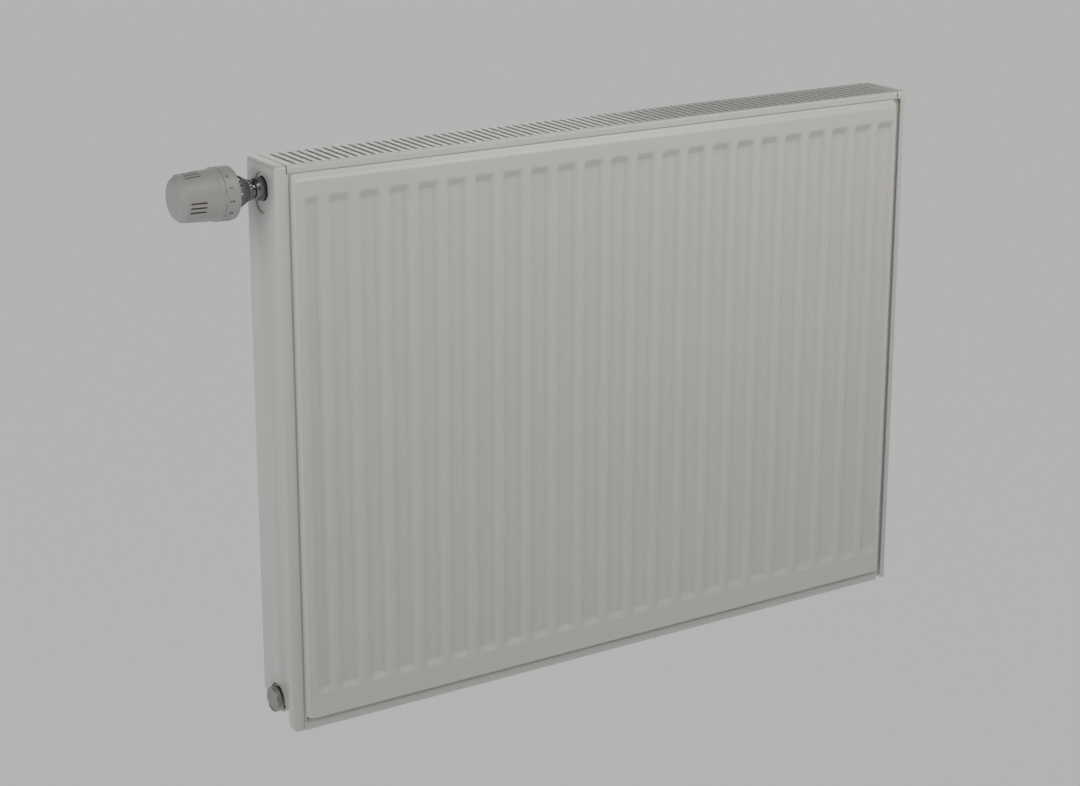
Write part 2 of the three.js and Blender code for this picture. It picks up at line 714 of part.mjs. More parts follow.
// The fixed scale ring with the sleeve that guides the sensor, and its six scale marks.
function headBase() {
  const hole = 3.1;
  const floor = 37;
  const body = turned([
    [hole, NECK_END + 2 * GAP],
    [14.7, NECK_END + 2 * GAP],
    [14.7, NUT_END + GAP],
    [23, NUT_END + GAP],
    [BASE_RADIUS - 1, NUT_END + 2.5],
    [BASE_RADIUS, NUT_END + 4.5],
    [BASE_RADIUS, BASE_END],
    [24.3, BASE_END],
    [24.3, floor],
    [SLEEVE_RADIUS, floor],
    [SLEEVE_RADIUS, 57],
    [COLLAR_RADIUS, 57],
    [COLLAR_RADIUS, 59.5],
    [SLEEVE_RADIUS, 59.5],
    [SLEEVE_RADIUS, 66],
    [SENSOR_RADIUS + 0.1, 66],
    [SENSOR_RADIUS + 0.1, floor],
    [hole, floor],
    [hole, NECK_END + 2 * GAP],
  ]);
  const marks = [];
  for (let k = 0; k < 6; k++) {
    const mark = new THREE.BoxGeometry(1.4, 5, 1.4);
    mark.translate(-BASE_RADIUS + 0.2, 44, 0);
    marks.push(solid(mark.rotateY(THREE.MathUtils.degToRad(50 - 28 * k))));
  }
  return solid(body).add(joined(marks));
}

// The turning cap: a hollow tapered shell with four groups of three slots and a raised pointer.
function handle() {
  const shell = turned([
    [0, HANDLE_END - 2.4],
    [18, HANDLE_END - 3.6],
    [20.6, 84],
    [HANDLE_BORE, 64],
    [HANDLE_BORE, BASE_END + GAP],
    [BASE_RADIUS, BASE_END + GAP],
    [BASE_RADIUS, 53],
    [25.8, 56],
    [25, 70],
    [23.6, 86],
    [22.4, 90.5],
    [19.4, 93],
    [0, HANDLE_END],
  ]);
  const slots = [];
  for (let group = 0; group < 4; group++) {
    for (let k = -1; k <= 1; k++) {
      const slot = new THREE.BoxGeometry(12, 17, 2);
      slot.translate(-24, 77.5, k * 4.8);
      slots.push(solid(slot.rotateY(THREE.MathUtils.degToRad(-15 + 90 * group))));
    }
  }
  const pointer = new THREE.BoxGeometry(2, 3, 9).translate(-BASE_RADIUS + 0.6, 50.7, 0);
  return solid(shell).add(solid(pointer)).subtract(joined(slots));
}

// The thin can that holds the sensor's filling, with its filling hole in the outer end.
function sensorCapsule() {
  const wall = 0.7;
  const hole = 1.5;
  const inner = SENSOR_RADIUS - wall;
  return turned([
    [0, 56],
    [SENSOR_RADIUS - 1, 56],
    [SENSOR_RADIUS, 57],
    [SENSOR_RADIUS, 83],
    [13, 86],
    [hole, 86],
    [hole, 86 - wall],
    [13 - wall, 86 - wall],
    [inner, 83 - wall],
    [inner, 57 + wall],
    [inner - 1, 56 + wall],
    [0, 56 + wall],
  ]);
}

addMesh("union_nut", unionNut(), DARK_CHROME, topLeft);
addMesh("head_base", geometryOf(headBase()), WHITE_PLASTIC, topLeft);
addMesh("handle", geometryOf(handle()), WHITE_PLASTIC, topLeft);
addMesh("sensor_capsule", sensorCapsule(), BRASS, topLeft);
addMesh("sensor_plunger", ring(0, 3, 33, 55.7, 16), WHITE_PLASTIC, topLeft);

export default radiator;
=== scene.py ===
"""Looks of a double-panel radiator with a thermostatic valve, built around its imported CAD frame.

The frame's axes: X runs along the radiator, the front faces -Y, +Z is up. Blender's unit is the metre.
The sizes below are in millimetres, and every mesh is scaled by MM when it is made.
"""
import json
import math

import bmesh
import bpy
import numpy as np
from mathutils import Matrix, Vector


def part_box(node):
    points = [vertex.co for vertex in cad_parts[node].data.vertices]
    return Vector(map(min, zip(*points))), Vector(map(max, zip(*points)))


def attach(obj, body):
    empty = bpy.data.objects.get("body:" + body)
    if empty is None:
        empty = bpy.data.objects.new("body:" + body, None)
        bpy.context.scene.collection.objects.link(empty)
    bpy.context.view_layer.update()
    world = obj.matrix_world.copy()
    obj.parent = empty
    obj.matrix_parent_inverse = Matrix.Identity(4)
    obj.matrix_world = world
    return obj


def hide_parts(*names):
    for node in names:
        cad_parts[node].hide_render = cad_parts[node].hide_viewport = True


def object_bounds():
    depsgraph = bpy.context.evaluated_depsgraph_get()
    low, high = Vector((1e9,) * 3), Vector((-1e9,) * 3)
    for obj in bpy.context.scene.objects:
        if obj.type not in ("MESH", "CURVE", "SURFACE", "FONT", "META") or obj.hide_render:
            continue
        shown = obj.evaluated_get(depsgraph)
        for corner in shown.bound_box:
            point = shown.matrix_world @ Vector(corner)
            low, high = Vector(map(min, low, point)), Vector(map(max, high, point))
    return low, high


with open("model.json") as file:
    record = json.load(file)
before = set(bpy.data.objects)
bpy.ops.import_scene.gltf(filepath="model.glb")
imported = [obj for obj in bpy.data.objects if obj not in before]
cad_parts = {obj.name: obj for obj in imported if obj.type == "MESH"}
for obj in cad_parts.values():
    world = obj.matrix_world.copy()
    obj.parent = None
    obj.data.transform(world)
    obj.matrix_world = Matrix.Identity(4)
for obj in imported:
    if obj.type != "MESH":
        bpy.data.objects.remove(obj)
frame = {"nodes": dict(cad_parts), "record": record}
cad_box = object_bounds()

MM = 0.001


# ---------------------------------------------------------------- places taken from the CAD frame


def box_mm(node):
    """Lowest and highest corner of a CAD node in millimetres."""
    low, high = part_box(node)
    return low / MM, high / MM


SHEET = 1.2
front_low, front_high = box_mm("front_panel_outer_sheet")
rear_low, rear_high = box_mm("rear_panel_outer_sheet")
cover_low, cover_high = box_mm("side_cover_left")
grille_low, grille_high = box_mm("top_grille")
tee_low, tee_high = box_mm("header_tee_bottom_right")

LEFT_END = cover_low.x
TOP = cover_high.z
BOTTOM = front_low.z
PANEL_HALF = front_high.x
PANEL_TOP = front_high.z
LIP_PLANE = cover_low.y
COVER_REAR = cover_high.y
MID_DEPTH = (tee_low.y + tee_high.y) / 2
TAPPING_HEIGHT = -(tee_low.z + tee_high.z) / 2


# ---------------------------------------------------------------- materials

# Noise keeps mostly to its middle range, so the roughness is spread over that.
NOISE_LOW = 0.3
NOISE_HIGH = 0.7
GRAIN_BUMP = 0.3
SPECK_SHARE = 0.35
COAT_ROUGHNESS = 0.22
RING_BUMP = 0.5
RING_SCALE = 2600.0
METAL_BLOTCH = 160.0


def new_material(name):
    """A node material with a Principled shader, and a small helper that adds and links nodes."""
    material = bpy.data.materials.new(name)
    material.use_nodes = True
    tree = material.node_tree
    shader = tree.nodes["Principled BSDF"]

    def add(kind, links=None, **settings):
        made = tree.nodes.new(kind)
        for key, value in settings.items():
            setattr(made, key, value)
        for socket, value in (links or {}).items():
            if isinstance(value, bpy.types.NodeSocket):
                tree.links.new(value, made.inputs[socket])
            else:
                made.inputs[socket].default_value = value
        return made

    return material, tree, shader, add


def varied_colour(add, tree, shader, factor, dark, light):
    """The base colour moves between two shades by a factor from 0 to 1."""
    mix = add("ShaderNodeMix", data_type="RGBA")
    mix.inputs["A"].default_value = (*dark, 1)
    mix.inputs["B"].default_value = (*light, 1)
    tree.links.new(factor, mix.inputs["Factor"])
    tree.links.new(mix.outputs["Result"], shader.inputs["Base Color"])


def varied_roughness(add, tree, shader, factor, low, high):
    """The roughness moves between two values by a noise's middle range."""
    spread = add(
        "ShaderNodeMapRange",
        {"Value": factor, "From Min": NOISE_LOW, "From Max": NOISE_HIGH, "To Min": low, "To Max": high},
    )
    tree.links.new(spread.outputs["Result"], shader.inputs["Roughness"])


def grained(name, dark, light, roughness, grain, depth, blotch, coat=0.0):
    """A coated or moulded surface: fine grain in the bump, slow changes of tone and gloss."""
    material, tree, shader, add = new_material(name)
    place = add("ShaderNodeTexCoord").outputs["Object"]
    slow = add("ShaderNodeTexNoise", {"Vector": place, "Scale": blotch, "Detail": 4.0, "Roughness": 0.6})
    fine = add("ShaderNodeTexNoise", {"Vector": place, "Scale": grain, "Detail": 3.0, "Roughness": 0.55})
    specks = add("ShaderNodeTexNoise", {"Vector": place, "Scale": grain * SPECK_SHARE, "Detail": 2.0})
    varied_colour(add, tree, shader, slow.outputs["Fac"], dark, light)
    varied_roughness(add, tree, shader, specks.outputs["Fac"], *roughness)
    bump = add(
        "ShaderNodeBump", {"Height": fine.outputs["Fac"], "Strength": GRAIN_BUMP, "Distance": depth * MM}
    )
    tree.links.new(bump.outputs["Normal"], shader.inputs["Normal"])
    shader.inputs["Coat Weight"].default_value = coat
    shader.inputs["Coat Roughness"].default_value = COAT_ROUGHNESS
    return material


def turned_metal(name, dark, light, roughness, depth):
    """Metal turned on a lathe: fine rings about the axis of the tapping that it sits in."""
    material, tree, shader, add = new_material(name)
    place = add("ShaderNodeTexCoord").outputs["Object"]
    parts = add("ShaderNodeSeparateXYZ", {"Vector": place})
    across = add("ShaderNodeMath", {0: parts.outputs["Y"], 1: MID_DEPTH * MM}, operation="SUBTRACT")
    level = add("ShaderNodeMath", {0: parts.outputs["Z"]}, operation="ABSOLUTE")
    above = add("ShaderNodeMath", {0: level.outputs[0], 1: TAPPING_HEIGHT * MM}, operation="SUBTRACT")
    arm = add("ShaderNodeCombineXYZ", {"X": across.outputs[0], "Y": above.outputs[0]})
    radius = add("ShaderNodeVectorMath", {0: arm.outputs[0]}, operation="LENGTH")
    ringed = add("ShaderNodeCombineXYZ", {"X": parts.outputs["X"], "Y": radius.outputs["Value"]})
    rings = add("ShaderNodeTexNoise", {"Vector": ringed.outputs[0], "Scale": RING_SCALE, "Detail": 2.0})
    slow = add("ShaderNodeTexNoise", {"Vector": place, "Scale": METAL_BLOTCH, "Detail": 3.0})
    varied_colour(add, tree, shader, slow.outputs["Fac"], dark, light)
    varied_roughness(add, tree, shader, slow.outputs["Fac"], *roughness)
    bump = add(
        "ShaderNodeBump", {"Height": rings.outputs["Fac"], "Strength": RING_BUMP, "Distance": depth * MM}
    )
    tree.links.new(bump.outputs["Normal"], shader.inputs["Normal"])
    shader.inputs["Metallic"].default_value = 1.0
    return material


PAINT = grained(
    "powder_coat",
    dark=(0.775, 0.765, 0.738),
    light=(0.82, 0.81, 0.783),
    roughness=(0.3, 0.38),
    grain=620.0,
    depth=0.03,
    blotch=9.0,
    coat=0.1,
)
PLASTIC = grained(
    "moulded_plastic",
    dark=(0.5, 0.495, 0.48),
    light=(0.55, 0.545, 0.53),
    roughness=(0.38, 0.48),
    grain=1500.0,
    depth=0.035,
    blotch=60.0,
)
PRINT = grained(
    "dark_print",
    dark=(0.05, 0.05, 0.055),
    light=(0.08, 0.08, 0.085),
    roughness=(0.5, 0.6),
    grain=1500.0,
    depth=0.01,
    blotch=200.0,
)
RUBBER = grained(
    "black_rubber",
    dark=(0.02, 0.02, 0.02),
    light=(0.035, 0.035, 0.035),
    roughness=(0.6, 0.75),
    grain=900.0,
    depth=0.05,
    blotch=90.0,
)
NICKEL = turned_metal("nickel_plate", (0.42, 0.405, 0.385), (0.5, 0.485, 0.46), (0.24, 0.36), 0.02)
CHROME = turned_metal("dark_chrome", (0.23, 0.24, 0.25), (0.34, 0.35, 0.365), (0.14, 0.24), 0.015)
STEEL = turned_metal("bare_steel", (0.52, 0.52, 0.51), (0.62, 0.62, 0.61), (0.28, 0.4), 0.02)
BRASS = turned_metal("bare_brass", (0.62, 0.48, 0.22), (0.72, 0.58, 0.3), (0.26, 0.4), 0.02)

LOOK_OF_SLOT = {
    "paint": PAINT,
    "white_plastic": PLASTIC,
    "rubber": RUBBER,
    "nickel": NICKEL,
    "dark_chrome": CHROME,
    "steel": STEEL,
    "brass": BRASS,
}


# ---------------------------------------------------------------- mesh helpers

MERGE_DISTANCE = 0.01
ON_AXIS = 1e-6


def new_object(name, points, faces):
    """A mesh object from points in millimetres, with its normals turned outwards."""
    mesh = bpy.data.meshes.new(name)
    mesh.from_pydata((np.asarray(points, float) * MM).tolist(), [], faces)
    shape = bmesh.new()
    shape.from_mesh(mesh)
    bmesh.ops.recalc_face_normals(shape, faces=shape.faces)
    shape.to_mesh(mesh)
    shape.free()
    made = bpy.data.objects.new(name, mesh)
    bpy.context.scene.collection.objects.link(made)
    return made


def baked(obj):
    """Turns the object's modifiers into its mesh."""
    graph = bpy.context.evaluated_depsgraph_get()
    mesh = bpy.data.meshes.new_from_object(obj.evaluated_get(graph))
    obj.modifiers.clear()
    obj.data = mesh
    return obj


def cut(obj, *cutters, operation="DIFFERENCE"):
    """Cuts other objects out of this one and removes them."""
    for cutter in cutters:
        boolean = obj.modifiers.new("cut", "BOOLEAN")
        boolean.operation = operation
        boolean.solver = "EXACT"
        boolean.object = cutter
    baked(obj)
    for cutter in cutters:
        bpy.data.objects.remove(cutter)
    return obj


def without_slivers(obj):
    """Merges the points that a cut left almost on each other, and removes faces without area."""
    shape = bmesh.new()
    shape.from_mesh(obj.data)
    bmesh.ops.triangulate(shape, faces=shape.faces)
    bmesh.ops.remove_doubles(shape, verts=shape.verts, dist=MERGE_DISTANCE * MM)
    bmesh.ops.dissolve_degenerate(shape, edges=shape.edges, dist=MERGE_DISTANCE * MM)
    shape.to_mesh(obj.data)
    shape.free()
    return obj


def eased(obj, width, segments=2, angle=40):
    """Rounds the sharp edges of a piece by a small width in millimetres."""
    bevel = obj.modifiers.new("eased", "BEVEL")
    bevel.width = width * MM
    bevel.segments = segments
    bevel.limit_method = "ANGLE"
    bevel.angle_limit = math.radians(angle)
    return obj


def dressed(obj, slot, body, replaced=(), sharp=35, look=None):
    """Gives a piece the material of its slot, its shading and its body, and hides the CAD nodes that it
    stands for.

    look is a material to show in place of the slot's own.
    """
    obj.data.materials.clear()
    obj.data.materials.append(look or LOOK_OF_SLOT[slot])
    obj.data.shade_smooth()
    obj.data.set_sharp_from_angle(angle=math.radians(sharp))
    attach(obj, body)
    if replaced:
        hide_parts(*replaced)
    return obj


def filleted(corners, steps=5):
    """Profile points from corners (a, b) or (a, b, fillet), with each fillet drawn as a curve."""
    points = []
    count = len(corners)
    for i, corner in enumerate(corners):
        here = np.array(corner[:2], float)
        if len(corner) == 2:
            points.append(here)
            continue
        before = np.array(corners[i - 1][:2], float) - here
        after = np.array(corners[(i + 1) % count][:2], float) - here
        start = here + before / np.linalg.norm(before) * corner[2]
        end = here + after / np.linalg.norm(after) * corner[2]
        for t in np.linspace(0, 1, steps + 1):
            points.append((1 - t) ** 2 * start + 2 * t * (1 - t) * here + t * t * end)
    return points


def in_tapping(side, height, local):
    """Points of a piece in a tapping: local x, outward distance and z, into the frame."""
    local = np.asarray(local, float)
    x = side * (-LEFT_END + local[:, 1])
    y = MID_DEPTH - side * local[:, 0]
    return np.stack([x, y, height + local[:, 2]], axis=1)


def turned(name, side, height, corners, segments=96, ribs=None):
    """A turned piece from (radius, outward[, fillet]) corners.

    ribs(radius, outward, angle), where it is given, says the radius of a point.
    """
    profile = filleted(corners)
    points, rows = [], []
    for radius, outward in profile:
        if radius < ON_AXIS:
            rows.append([len(points)] * segments)
            points.append((0, outward, 0))
            continue
        rows.append(list(range(len(points), len(points) + segments)))
        for i in range(segments):
            angle = 2 * math.pi * i / segments
            r = ribs(radius, outward, angle) if ribs else radius
            points.append((r * math.sin(angle), outward, r * math.cos(angle)))
    faces = []
    closed = profile[0][0] > ON_AXIS
    pairs = list(zip(rows, rows[1:] + rows[:1] if closed else rows[1:]))
    for low, high in pairs:
        for i in range(segments):
            j = (i + 1) % segments
            ring = [low[i], low[j], high[j], high[i]]
            face = [v for n, v in enumerate(ring) if v != ring[n - 1]]
            if len(face) > 2:
                faces.append(face)
    return new_object(name, in_tapping(side, height, points), faces)


def prism(outline, along, start, end):
    """A prism of an outline given in the two other axes, from start to end along one axis."""
    points, count = [], len(outline)
    for level in (start, end):
        for a, b in outline:
            point = [a, b]
            point.insert(along, level)
            points.append(point)
    faces = [list(range(count)), list(range(count, 2 * count))]
    faces += [[i, (i + 1) % count, count + (i + 1) % count, count + i] for i in range(count)]
    return points, faces


def joined_object(name, solids):
    """One object from several (points, faces) solids."""
    points, faces = [], []
    for solid_points, solid_faces in solids:
        faces += [[v + len(points) for v in face] for face in solid_faces]
        points += list(solid_points)
    return new_object(name, points, faces)


def arc(centre, radius, first, last, steps):
    """Points of a circle's arc between two angles in degrees."""
    angles = np.radians(np.linspace(first, last, steps + 1))
    return [(centre[0] + radius * math.cos(a), centre[1] + radius * math.sin(a)) for a in angles]


def obround(centre, half_width, low, high, steps=12):
    """A slot's outline with round ends, upright in its second axis."""
    top = arc((centre, high - half_width), half_width, 0, 180, steps)
    bottom = arc((centre, low + half_width), half_width, 180, 360, steps)
    return top + bottom


# ---------------------------------------------------------------- pressed sheets

LENGTH = 800
GROOVES = 23
PITCH = LENGTH / (GROOVES + 1)

# The grooves: their section, and their ends, which slope over GROOVE_END_RUN.
GROOVE_DEPTH = 5.3
GROOVE_FLOOR = 16.7
FIRST_GROOVE_FLOOR = 10.0
GROOVE_SLOPE = 4.6
GROOVE_END_RUN = 7.8
GROOVE_LOW = -262.0
GROOVE_HIGH = 268.0
GROOVE_CORNER = 3.5

# How softly each bend turns.
EDGE_ROUNDING = 1.5
FACE_EDGE_ROUNDING = 1.0
TOP_EDGE_ROUNDING = 2.0
FOOT_ROUNDING = 0.7
GROOVE_LEFT_FOOT = 2.0
GROOVE_END_FOOT = 1.4

# The rim round the raised face. The front sheet's is lifted below the face and at the left.
RIM_SIDE = 15.5
FRONT_RIM_TOP = 5.4
REAR_RIM_TOP = 10.0
RIM_BOTTOM = 10.4
RIM_LIFT = 5.0
LEFT_RIM_LIFT = 2.2
LEFT_LIFT_REACH = 3.0
RIM_SEAM = 1.0
RIM_STEP_BEYOND = 0.8
RIM_STEP_RUN = 1.0
RIM_STEP_ROUNDINGS = (0.3, 0.4)
FACE_CORNER = 8.0
SHEET_CORNER = 9.0
CORNER_RUN_SHARE = 0.9

# How far the finely sampled bands reach past a bend.
FOOT_MARGIN = 1.2
WALL_MARGIN = 3.0
SIDE_MARGIN = 1.8
END_MARGIN = 2.0
GROOVE_MARGIN = 5.0


def soft_ramp(distance, run, low_rounding, high_rounding):
    """A ramp from 0 to 1 over run, rounded where it leaves 0 and where it reaches 1."""

    def soft_positive(value, k):
        return np.where(np.abs(value) < k, (value + k) ** 2 / (4 * k), np.maximum(value, 0))

    return (soft_positive(distance, low_rounding) - soft_positive(distance - run, high_rounding)) / run


def rise(dx, dz, corner, run_x, run_z, low, high_x, high_z):
    """From 0 at the border of a rectangle to 1 inside it, over its own run and roundings on each axis."""
    a = np.maximum(corner - dx, 0)
    b = np.maximum(corner - dz, 0)
    straight = soft_ramp(dx, run_x, low, high_x) * soft_ramp(dz, run_z, low, high_z)
    curved = soft_ramp(corner - np.hypot(a, b), min(run_x, CORNER_RUN_SHARE * corner), low, high_x)
    return np.where((a > 0) & (b > 0), np.minimum(straight, curved), straight)


def groove_edges(number, first_floor):
    """Outer left and right edge of one groove."""
    floor = first_floor if number == 1 else GROOVE_FLOOR
    right = LEFT_END + number * PITCH + GROOVE_FLOOR / 2 + GROOVE_SLOPE
    return right - floor - 2 * GROOVE_SLOPE, right


def sheet_height(x, z, inset, proud, first_floor, side_run, top_run, rim_top, rim_lift, left_lift):
    """Height of a pressed sheet above its rim at x, z. inset makes the face smaller and grooves larger."""
    dx = -LEFT_END - RIM_SIDE - np.abs(x)
    above = z - (BOTTOM + RIM_BOTTOM)
    below = (TOP - rim_top) - z
    dz = np.minimum(above, below)
    end_run = np.where(above < below, side_run, top_run)
    end_edge = np.where(above < below, FACE_EDGE_ROUNDING, TOP_EDGE_ROUNDING)
    height = proud * rise(
        dx - inset,
        dz - inset,
        FACE_CORNER,
        side_run,
        end_run,
        FOOT_ROUNDING,
        FACE_EDGE_ROUNDING,
        end_edge,
    )
    from_seam = np.minimum(-above - RIM_SEAM, dx + RIM_STEP_BEYOND)
    height += rim_lift * soft_ramp(from_seam + inset, RIM_STEP_RUN, *RIM_STEP_ROUNDINGS)
    at_left_rim = x < LEFT_END + RIM_SIDE + LEFT_LIFT_REACH
    height = np.where(at_left_rim, np.maximum(height, left_lift), height)
    for number in range(1, GROOVES + 1):
        left, right = groove_edges(number, first_floor)
        columns = (x[:, 0] > left - GROOVE_MARGIN) & (x[:, 0] < right + GROOVE_MARGIN)
        gx, gz = x[columns], z[columns]
        foot = np.where(gx - left < right - gx, GROOVE_LEFT_FOOT, FOOT_ROUNDING)
        depth = rise(
            np.minimum(gx - left, right - gx) + inset,
            np.minimum(gz - GROOVE_LOW, GROOVE_HIGH - gz) + inset,
            GROOVE_CORNER,
            GROOVE_SLOPE,
            GROOVE_END_RUN,
            EDGE_ROUNDING,
            foot,
            GROOVE_END_FOOT,
        )
        height[columns] -= GROOVE_DEPTH * depth
    return height


def spread(*spans):
    """Sorted sample positions from (start, end, steps) spans."""
    return np.unique(np.round(np.concatenate([np.linspace(a, b, n + 1) for a, b, n in spans]), 3))


def pressed_sheet(
    name,
    rim_plane,
    outward,
    proud,
    first_floor,
    side_run,
    top_run,
    rim_top,
    rim_lift=0.0,
    left_lift=0.0,
    mirrored=False,
):
    """A closed pressed sheet: its outside and inside as two height fields joined at the border."""
    foot = -LEFT_END - RIM_SIDE
    wall = side_run + WALL_MARGIN
    fixed = foot + FOOT_MARGIN
    spans = [
        (-PANEL_HALF, -fixed, 4),
        (-fixed, -foot + wall, 16),
        (foot - wall, fixed, 16),
        (fixed, PANEL_HALF, 4),
    ]
    for number in range(1, GROOVES + 1):
        left, right = groove_edges(number, first_floor)
        turn = GROOVE_SLOPE + SIDE_MARGIN
        spans += [
            (left - SIDE_MARGIN, left + turn, 14),
            (left + turn, right - turn, 3),
            (right - turn, right + SIDE_MARGIN, 14),
        ]
    xs = spread(*spans)
    low_foot, high_foot = BOTTOM + RIM_BOTTOM, TOP - rim_top
    turn = GROOVE_END_RUN + END_MARGIN
    seam = low_foot - RIM_SEAM - END_MARGIN
    step = low_foot - RIM_STEP_BEYOND
    slope = high_foot - top_run - WALL_MARGIN
    zs = spread(
        (BOTTOM, seam, 5),
        (seam, step, 14),
        (step, low_foot + wall, 14),
        (low_foot + wall, GROOVE_LOW - END_MARGIN, 5),
        (GROOVE_LOW - END_MARGIN, GROOVE_LOW + turn, 16),
        (GROOVE_LOW + turn, GROOVE_HIGH - turn, 14),
        (GROOVE_HIGH - turn, GROOVE_HIGH + END_MARGIN, 16),
        (GROOVE_HIGH + END_MARGIN, slope, 4),
        (slope, high_foot + FOOT_MARGIN, 20),
        (high_foot + FOOT_MARGIN, PANEL_TOP, 4),
    )
    x, z = np.meshgrid(xs, zs, indexing="ij")
    shape = (proud, first_floor, side_run, top_run, rim_top, rim_lift, left_lift)
    outside = sheet_height(x, z, 0.0, *shape)
    inner = sheet_height(x, z, SHEET, *shape) - SHEET
    to_corner = np.clip(SHEET_CORNER - np.minimum(z - BOTTOM, PANEL_TOP - z), 0, SHEET_CORNER)
    half_width = PANEL_HALF - SHEET_CORNER + np.sqrt(SHEET_CORNER**2 - to_corner**2)
    beyond = np.maximum(np.abs(x) - fixed, 0) * (half_width - fixed) / (PANEL_HALF - fixed)
    x = np.sign(x) * (np.minimum(np.abs(x), fixed) + beyond) * (-1 if mirrored else 1)
    layers = [
        np.stack([x, rim_plane + outward * height, z], axis=-1).reshape(-1, 3)
        for height in (outside, inner)
    ]
    rows, columns = len(xs), len(zs)
    index = np.arange(rows * columns).reshape(rows, columns)
    quads = np.stack([index[:-1, :-1], index[1:, :-1], index[1:, 1:], index[:-1, 1:]], axis=-1)
    quads = quads.reshape(-1, 4)
    border = np.concatenate([index[:, 0], index[-1, 1:], index[-2::-1, -1], index[0, -2:0:-1]])
    after = np.roll(border, -1)
    lift = rows * columns
    strip = np.stack([border, after, after + lift, border + lift], axis=-1)
    faces = np.concatenate([quads, quads[:, ::-1] + lift, strip])
    return new_object(name, np.concatenate(layers), faces.tolist())


FRONT_SIDE_RUN = 2.4
FRONT_TOP_RUN = 10.4
REAR_RUN = 3.0

front_sheet = pressed_sheet(
    "front_panel_face",
    rim_plane=front_high.y - SHEET,
    outward=-1,
    proud=front_high.y - SHEET - front_low.y,
    first_floor=FIRST_GROOVE_FLOOR,
    side_run=FRONT_SIDE_RUN,
    top_run=FRONT_TOP_RUN,
    rim_top=FRONT_RIM_TOP,
    rim_lift=RIM_LIFT,
    left_lift=LEFT_RIM_LIFT,
)
dressed(front_sheet, "paint", "radiator", ["front_panel_outer_sheet"], sharp=50)

rear_sheet = pressed_sheet(
    "rear_panel_face",
    rim_plane=rear_low.y + SHEET,
    outward=1,
    proud=rear_high.y - SHEET - rear_low.y,
    first_floor=GROOVE_FLOOR,
    side_run=REAR_RUN,
    top_run=REAR_RUN,
    rim_top=REAR_RIM_TOP,
    mirrored=True,
)
dressed(rear_sheet, "paint", "radiator", ["rear_panel_outer_sheet"], sharp=50)


# ---------------------------------------------------------------- side covers

LIP_WIDTH = 8.0
LEFT_LIP_WIDTH = 13.8
TOP_FLANGE = 12.0
REAR_LIP = 10.0
FRONT_STRIP = 6.0
COVER_BOTTOM = BOTTOM + 25.5
FOLD = 4.0
VALVE_NOTCH_HALF = 15.0
VALVE_NOTCH_ABOVE = 17.0
VALVE_NOTCH_BELOW = 25.0
PLUG_NOTCH = 16.5
RIGHT_FOOT_CORNER = 3.0
LIP_TOP_GAP = 0.5
WASTE_MARGIN = 1.0
COVER_EASE = 0.25


def folded_sheet(name, polygons, fold, segments=7):
    """A folded sheet from the flat polygons of its outside: shared edges become bends."""
    shape = bmesh.new()
    corners = {}
    for polygon in polygons:
        face = []
        for point in polygon:
            key = tuple(round(c, 3) for c in point)
            if key not in corners:
                corners[key] = shape.verts.new([c * MM for c in key])
            face.append(corners[key])
        shape.faces.new(face)
    bmesh.ops.recalc_face_normals(shape, faces=shape.faces)
    shared = [e for e in shape.edges if len(e.link_faces) == 2]
    bmesh.ops.bevel(
        shape,
        geom=shared,
        offset=fold * MM,
        offset_type="OFFSET",
        segments=segments,
        profile=0.5,
        affect="EDGES",
        clamp_overlap=False,
    )
    mesh = bpy.data.meshes.new(name)
    shape.to_mesh(mesh)
    shape.free()
    made = bpy.data.objects.new(name, mesh)
    bpy.context.scene.collection.objects.link(made)
    thick = made.modifiers.new("thickness", "SOLIDIFY")
    thick.thickness = SHEET * MM
    thick.offset = -1
    thick.use_even_offset = True
    thick.use_quality_normals = True
    return baked(made)


